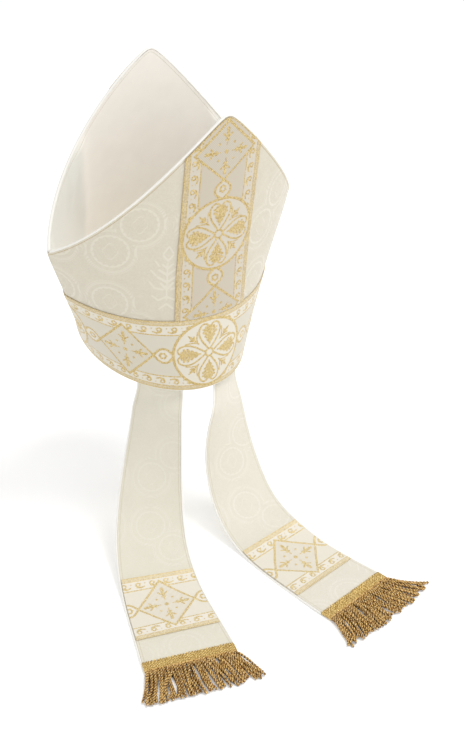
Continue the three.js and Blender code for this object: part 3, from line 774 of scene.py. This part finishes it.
# ---------------------------------------------------------------- panels, lining, gusset
def horn_run():
    """Length along a horn's edge from its peak, for places 0..1 across."""
    place = np.linspace(0, 1, 200)
    height = horn_edge(place)
    steps = np.hypot(np.diff(arc_of(place, height)), np.diff(height))
    slope = np.gradient(height, arc_of(place, height))
    return place, np.concatenate([[0], np.cumsum(steps)]), np.cos(np.arctan(slope))


RUN_PLACES, RUN_LENGTHS, RUN_COSINES = horn_run()


def edge_values(place, height):
    """Distance in from the horn's edge, and length along that edge."""
    tilt = np.interp(np.abs(place), RUN_PLACES, RUN_COSINES)
    return {"edge": (horn_edge(place) - height) * tilt,
            "run": np.interp(np.abs(place), RUN_PLACES, RUN_LENGTHS) + (PEAK_HEIGHT - height) * 0.3}


# A crease down each side of a lining, and the gathers by its side points. Near the horn's edge the
# lining lies flat.
CREASE_AT = 0.43
GATHERS = 26
EDGE_HOLD = 7 * MM


def crease_line(height):
    """Where the lining's crease runs, as a share of the way across; past it the lining is tinted greyer, as
    painted shade beside the crease.
    """
    return CREASE_AT + 0.10 * (height - SHOULDER_HEIGHT) / (PEAK_HEIGHT - SHOULDER_HEIGHT)


def lining_ease(place, height):
    """How far the lining stands off its panel: a pressed crease and small gathers."""
    rise = (height - SHOULDER_HEIGHT) / (PEAK_HEIGHT - SHOULDER_HEIGHT)
    line = crease_line(height)
    crease = 3.0 * MM * np.exp(-(((np.abs(place) - line) / 0.06) ** 2))
    crease = crease * smooth(1.2 - rise) * smooth(rise * 3 + 1)
    fold = np.exp(-(((np.abs(place) - line - 0.15 + 0.25 * rise) / 0.03) ** 2))
    fold = fold * smooth(1 - np.abs(rise - 0.2) * 4)
    near_side = smooth((np.abs(place) - 0.86) / 0.10) * smooth(1 - np.abs(rise) / 0.45)
    gathers = 0.7 * MM * near_side * (1 + np.sin(GATHERS * math.pi * rise * 1.4 + 2 * np.sin(9 * rise)))
    return crease + 2.4 * MM * fold + gathers


def panel_face(side, inset, bottom, soft=False):
    def face(u, v, depth):
        place = u * 2 - 1
        height = bottom + (horn_edge(place) - bottom) * v
        ease = lining_ease(place, height) if soft else 0
        ease = ease * smooth((horn_edge(place) - height) / EDGE_HOLD)
        reach = inset + depth * (-1 if soft else 1)
        across = place * seam_reach(height, side, reach)
        points = leaning(wall_point(across, height, side, reach + ease))
        arc = arc_of(across, height) * side
        values = edge_values(place, height)
        if soft:
            # Marks where the lining turns greyer past its crease, as painted shade.
            values["facing"] = crease_line(height) - np.abs(place)
        else:
            values["damask"] = damask_chart(arc - DAMASK_CENTRE[0], height - DAMASK_CENTRE[1])
        return points, np.stack([arc, height], -1), values

    return face


def outwards(point):
    """Away from the mitre's upright axis."""
    return Vector((point.x, point.y - 0.2 * point.z, 0))


def inwards(point):
    return -outwards(point)


def above(point):
    """Towards the side of a lappet that shows: up and backwards."""
    return Vector((0.1, 0.5, 0.9))


for name, side in (("front", -1), ("back", 1)):
    panel = cloth_piece(name + "_damask", panel_face(side, 0.0, 0.0), 240, 220, PANEL_THICKNESS, outwards)
    finish_piece(panel, damask_cloth, name + "_panel", slot="damask")
    lining = cloth_piece(name + "_lining_cloth", panel_face(side, LINING_END, 6 * MM, soft=True),
                         150, 140, LINING_THICKNESS, inwards)
    finish_piece(lining, lining_cloth, name + "_lining", slot="lining")


GUSSET_DROP = 52 * MM
GUSSET_STEEPNESS = 4
GUSSET_SAG = 9 * MM
GUSSET_PUCKER = 0.9 * MM
GUSSET_BELOW_SHOULDER = 3 * MM
GUSSET_SEAM_GAP = 0.6 * MM
GUSSET_THICKNESS = 1.0 * MM
FAR_FROM_EDGE = 20 * MM


def gusset_face(u, v, depth):
    place = u * 2 - 1
    dip = GUSSET_DROP * (1 - np.abs(place) ** GUSSET_STEEPNESS)
    height = SHOULDER_HEIGHT - GUSSET_BELOW_SHOULDER - dip - depth
    inset = LINING_END + GUSSET_SEAM_GAP
    front = wall_point(place * seam_reach(height, -1, inset, MM), height, -1, inset)
    back = wall_point(place * seam_reach(height, 1, inset, MM), height, 1, inset)
    points = front * (1 - v)[:, None] + back * v[:, None]
    points[:, 2] -= GUSSET_SAG * np.sin(math.pi * v) * (1 - place * place)
    points[:, 2] += GUSSET_PUCKER * np.sin(math.pi * v) * np.sin(v * 7 * math.pi + 3 * place)
    far = np.full(u.shape, FAR_FROM_EDGE)
    return leaning(points), np.stack([place * 0.135, v * 0.16], -1), {"edge": far, "run": far, "facing": far}


gusset = cloth_piece("gusset_cloth", gusset_face, 90, 60, GUSSET_THICKNESS, lambda p: Vector((0, 0, 1)))
finish_piece(gusset, lining_cloth, "gusset", slot="lining")


# ---------------------------------------------------------------- bands
def ring_point(turn, height, inset):
    quarter = (turn % 1.0) * 4
    side = np.where(quarter < 2, 1.0, -1.0)
    across = np.where(quarter < 2, 1 - quarter, quarter - 3)
    point = outer_point(across, height, side)
    normal = inward_normal(across, height, side)
    seam = 1 - np.abs(across) < 1e-6
    normal[:, 1] = np.where(seam, 0, normal[:, 1])
    normal /= np.linalg.norm(normal, axis=1, keepdims=True)
    return point + normal * np.reshape(inset, (-1, 1)), across, side


CIRCULUS_PERIODS = 3.5
MEDALLION_SHIFT = 3.5 * MM
TITULUS_MEDALLION = 172.5 * MM


def circulus_face(u, v, depth):
    points, across, side = ring_point((u + 0.75) % 1.0, BAND_WIDTH * v, depth - BAND_LIFT - BAND_THICKNESS)
    middle = np.full(u.shape, BAND_WIDTH / 2)
    quarter = arc_of(np.ones(1), middle[:1])[0]
    round_front = np.sign(u - 0.5) * (2 * quarter - arc_of(np.abs(across), middle))
    arc = np.where(side > 0, -arc_of(across, middle), round_front)
    along = (arc + MEDALLION_SHIFT) / quarter * (CIRCULUS_PERIODS / 4) * PERIOD
    return leaning(points), np.stack([arc, BAND_WIDTH * v], -1), galloon_chart(along, v - 0.5)


circulus = cloth_piece("circulus_galloon", circulus_face, 720, 100, BAND_THICKNESS, outwards, ring=True)
finish_piece(circulus, galloon_cloth, "circulus", slot="galloon")


def titulus_face(side):
    def face(u, v, depth):
        arc = (u - 0.5) * BAND_WIDTH
        bottom = BAND_WIDTH + 0.3 * MM
        top = np.full(u.shape, PEAK_HEIGHT)
        for _ in range(12):
            top = (top + horn_edge(across_of(arc, top)) - 0.6 * MM) / 2
        height = bottom + (top - bottom) * v
        points = wall_point(across_of(arc, height), height, side, depth - BAND_LIFT - BAND_THICKNESS)
        along = (height - TITULUS_MEDALLION) / BAND_WIDTH
        along = np.minimum(along, DIAMOND_AT) + np.maximum(along - DIAMOND_AT, 0) * 0.93
        chart = galloon_chart(along, arc / BAND_WIDTH)
        place = across_of(arc, height)
        edge = edge_values(place, height)["edge"]
        sewn = np.where(height > SHOULDER_HEIGHT, np.abs(edge - 0.9 * MM) - 0.6 * MM, MM)
        chart["gold"] = np.minimum(np.where(edge < 1.6 * MM, MM, chart["gold"]), sewn)
        return leaning(points), np.stack([arc, height], -1), chart

    return face


for name, side in (("front", -1), ("back", 1)):
    titulus = cloth_piece(name + "_titulus_galloon", titulus_face(side), 100, 260, BAND_THICKNESS, outwards)
    finish_piece(titulus, galloon_upright_painted_dim, name + "_titulus", slot="galloon")


# ---------------------------------------------------------------- piping
# The piping of the horns is flattened over the edge of wall and lining, and sunk into it
CORD_GAP = 0.02 * MM
EDGE_CORD_SINK = -0.5 * MM
EDGE_CORD_WIDEN = 1.5
EDGE_CORD_END = 0.3 * MM
EDGE_CORD_CROWDING = 1.25


def horn_cord_points(side, count=240):
    inset = LINING_END / 2
    shoulder = np.array([SHOULDER_HEIGHT])
    clearance = EDGE_CORD_RADIUS + EDGE_CORD_SINK
    end = seam_reach(shoulder, side, inset, EDGE_CORD_END)[0] / seam_reach(shoulder, side, inset)[0]
    share = np.linspace(-1, 1, count + 1)
    place = end * np.sign(share) * np.abs(share) ** EDGE_CORD_CROWDING
    height = horn_edge(place)
    across = place * seam_reach(height, side, inset)
    points = wall_point(across, height, side, inset)
    along = np.gradient(points, axis=0)
    lift = np.cross(along, inward_normal(across, height, side))
    lift /= np.linalg.norm(lift, axis=1, keepdims=True)
    lift *= np.where(lift[:, 2:] < 0, -1, 1)
    return leaning(points + lift * clearance), inward_normal(across, height, side)


for name, side in (("front", -1), ("back", 1)):
    points, inward = horn_cord_points(side)
    cord = tube_piece(name + "_edge_piping", [points], EDGE_CORD_RADIUS, 20,
                      wide=(inward[None], EDGE_CORD_WIDEN))
    finish_piece(cord, piping_cloth, name + "_edge_cord", slot="piping")

turns = np.linspace(0, 1, 240, endpoint=False)
rim_points = leaning(ring_point(turns, np.full(240, -RIM_CORD_RADIUS - 0.3 * MM), 0.9 * MM)[0])
rim_cord = tube_piece("rim_piping", [rim_points], RIM_CORD_RADIUS, 14, ring=True)
finish_piece(rim_cord, piping_cloth, "rim_cord", slot="piping")


# ---------------------------------------------------------------- lappets
LAPPET_PALMETTE = 136.6 * MM
LAPPET_SCALE = 1.2


def strip_face(lappet, start, stop, offset, share=1.0):
    def face(u, v, depth):
        distance = start + (stop - start) * v
        place = (u * 2 - 1) * share
        points = lappet_point(lappet, distance, place, offset - depth)
        half = lappet_width(lappet, distance) / 2
        lengths = np.stack([place * half, distance], -1)
        values = {"edge": (1 - np.abs(place)) * half, "run": distance,
                  "damask": damask_chart(lengths[:, 0] * LAPPET_SCALE + ROUNDELS[0][0],
                                         (distance - LAPPET_PALMETTE) * LAPPET_SCALE)}
        return points, lengths, values

    return face


def band_face(lappet, start, offset):
    """The piece of galloon across a lappet, a diamond in its middle."""
    strip = strip_face(lappet, start, start + BAND_WIDTH, offset, 0.985)

    def face(u, v, depth):
        points, lengths, _ = strip(u, v, depth)
        return points, lengths, galloon_chart(DIAMOND_AT + lengths[:, 0] / BAND_WIDTH, v - 0.5)

    return face


PICOT_PITCH = 2.8 * MM
CHEVRON_PITCH = 3.4 * MM


def gimp_face(lappet, start):
    """The woven heading of a fringe: chevron ridges and a row of small loops along its top."""
    top = HEADER_THICKNESS - LAPPET_THICKNESS / 2

    def face(u, v, depth):
        place = (u * 2 - 1) * 1.02
        x = place * lappet["foot"] / 2
        loops = 2.0 * MM * (1 - v) ** 4 * np.abs(np.sin(math.pi * x / PICOT_PITCH))
        distance = start + HEADER_LENGTH * v - loops
        zigzag = np.abs((x / CHEVRON_PITCH) % 1 - 0.5) * 2
        ridge = np.sin(2 * math.pi * (v * HEADER_LENGTH / (2.3 * MM) + zigzag * 0.8))
        rounded = 1.0 * MM * np.clip(2 * v - 1, 0, 1) ** 4
        height = top - rounded + 0.42 * MM * ridge - depth
        return lappet_point(lappet, distance, place, height), np.stack([x, distance], -1), {"ply": ridge}

    return face


STRANDS = 78
STRAND_RADIUS = 1.15 * MM
STRAND_PLACES = 64
STRAND_TUCK = 3 * MM
STRAND_FLOOR = -0.3 * MM


def strand_paths(lappet, start, seed):
    """Bullion strands that fan out from the heading and lie in three layers on the floor."""
    draw = np.random.default_rng(seed)
    paths = []
    t = np.linspace(0, 1, STRAND_PLACES)
    for k in range(STRANDS):
        share = (k + 0.5) / STRANDS
        spread = np.interp(share, [0, 0.5, 1], lappet["fan"]) * DEG
        edge = abs(2 * share - 1) ** 4
        length = FRINGE_LENGTH + STRAND_TUCK + draw.uniform(-4.5, 1.5) * MM
        lean = draw.normal(0, 3.5 + 5 * edge) * DEG
        wave = draw.normal(0, 11) * DEG
        phase = draw.uniform(0, 2 * math.pi)
        heading = spread * (0.6 + 0.5 * t) + lean * t + wave * np.sin(5.2 * t + phase)
        step = length / (STRAND_PLACES - 1)
        x = (2 * share - 1) * 0.985 * lappet["foot"] / 2 + np.cumsum(np.sin(heading)) * step
        along = start - STRAND_TUCK + np.cumsum(np.cos(heading)) * step
        layer = (0.2, 2.2, 1.2)[k % 3] * MM
        bend = draw.uniform(-0.5, 0.9) * MM * np.sin(t * draw.uniform(2, 6) + phase)
        height = (layer + bend) * smooth(t * 4) * (1 - 0.45 * t**2) + 0.6 * MM * (1 - smooth(t * 4))
        height = np.maximum(height, STRAND_FLOOR)
        paths.append(lappet_point(lappet, along, x / (lappet["foot"] / 2), height))
    return paths


LEFT_LAPPET["fan"] = (-30, -4, 22)
RIGHT_LAPPET["fan"] = (-36, 8, 32)

for name, lappet in (("left", LEFT_LAPPET), ("right", RIGHT_LAPPET)):
    half = LAPPET_THICKNESS / 2
    total = lappet["total"]
    ribbon = cloth_piece(name + "_lappet_cloth", strip_face(lappet, 0, total, half), 70, 280,
                         LAPPET_THICKNESS, above)
    finish_piece(ribbon, lappet_cloths[name], name + "_lappet", slot="lappet")
    start = lappet["band_start"] * lappet["length"] + LAPPET_PATH_LEAD
    lift = half + BAND_LIFT + BAND_THICKNESS
    band = cloth_piece(name + "_band_galloon", band_face(lappet, start, lift), 110, 105,
                       BAND_THICKNESS, above)
    finish_piece(band, galloon_lappet, name + "_lappet_band", slot="galloon")
    for edge, sign in (("outer", 1 if name == "left" else -1), ("inner", -1 if name == "left" else 1)):
        distance = np.linspace(MM, total - MM, 200)
        clear = 1 + 2 * (LAPPET_CORD_RADIUS + CORD_GAP) / lappet_width(lappet, distance)
        points = lappet_point(lappet, distance, sign * clear, 0.0)
        cord = tube_piece("%s_%s_piping" % (name, edge), [points], LAPPET_CORD_RADIUS, 12)
        finish_piece(cord, piping_cloth, "%s_lappet_%s_cord" % (name, edge), slot="piping")
    header_start = total + 0.3 * MM
    header = cloth_piece(name + "_gimp", gimp_face(lappet, header_start), 250, 25, HEADER_THICKNESS, above)
    finish_piece(header, gimp_braid, name + "_fringe_header", slot="bullion")
    paths = strand_paths(lappet, header_start + HEADER_LENGTH, 11 if name == "left" else 5)
    fringe = tube_piece(name + "_bullion", paths, STRAND_RADIUS, 9, twist=(0.28, 2, 3.6 * MM))
    finish_piece(fringe, bullion_strands, name + "_fringe", slot="bullion")


# ---------------------------------------------------------------- stage
FLOOR_WIDTH = 14
FLOOR_GLOW = 0.20
SKY_STRENGTH = 0.75
KEY_POWER = 31
FRONT_POWER = 6.5
LENS = 94.19
CAMERA_PLACE = (0.58961, 1.00148, 0.60350)
CAMERA_RIGHT = (-0.82575, 0.56404, -0.00015)
CAMERA_BACK = (0.48989, 0.71732, 0.49544)

bpy.ops.mesh.primitive_plane_add(size=FLOOR_WIDTH, location=(0, 0, FLOOR_LEVEL))
floor = bpy.context.object
floor.name = "studio_floor"
floor_material = bpy.data.materials.new("pale_painted_floor")
floor_material.use_nodes = True
floor_shader = floor_material.node_tree.nodes["Principled BSDF"]
floor_shader.inputs["Base Color"].default_value = (0.97, 0.97, 0.97, 1)
floor_shader.inputs["Roughness"].default_value = 0.9
floor_shader.inputs["Specular IOR Level"].default_value = 0.0
floor_shader.inputs["Emission Color"].default_value = (1, 1, 1, 1)
floor_shader.inputs["Emission Strength"].default_value = FLOOR_GLOW
floor.data.materials.append(floor_material)

world = bpy.data.worlds.new("studio")
bpy.context.scene.world = world
world.use_nodes = True
world.node_tree.nodes["Background"].inputs["Color"].default_value = (1, 1, 1, 1)
world.node_tree.nodes["Background"].inputs["Strength"].default_value = SKY_STRENGTH


def soft_light(name, spot, target, size, power):
    data = bpy.data.lights.new(name, "AREA")
    data.shape = "DISK"
    data.size = size
    data.energy = power
    lamp = bpy.data.objects.new(name, data)
    bpy.context.collection.objects.link(lamp)
    lamp.location = spot
    lamp.rotation_euler = (Vector(target) - Vector(spot)).to_track_quat("-Z", "Y").to_euler()


soft_light("key", (-0.9, 0.9, 2.4), (0, 0.15, 0), 1.4, KEY_POWER)
soft_light("front", (0.3, 1.9, 1.3), (0, -0.05, 0.15), 1.8, FRONT_POWER)

camera_data = bpy.data.cameras.new("camera")
camera_data.sensor_fit = "HORIZONTAL"
camera_data.sensor_width = 36
camera_data.lens = LENS
camera = bpy.data.objects.new("camera", camera_data)
bpy.context.collection.objects.link(camera)
right = Vector(CAMERA_RIGHT)
back = Vector(CAMERA_BACK).normalized()
up = back.cross(right).normalized()
right = up.cross(back)
turn = Matrix((right, up, back)).transposed().to_4x4()
turn.translation = Vector(CAMERA_PLACE)
camera.matrix_world = turn
bpy.context.scene.camera = camera

bpy.context.scene.view_settings.view_transform = "Standard"
bpy.context.scene.view_settings.look = "None"
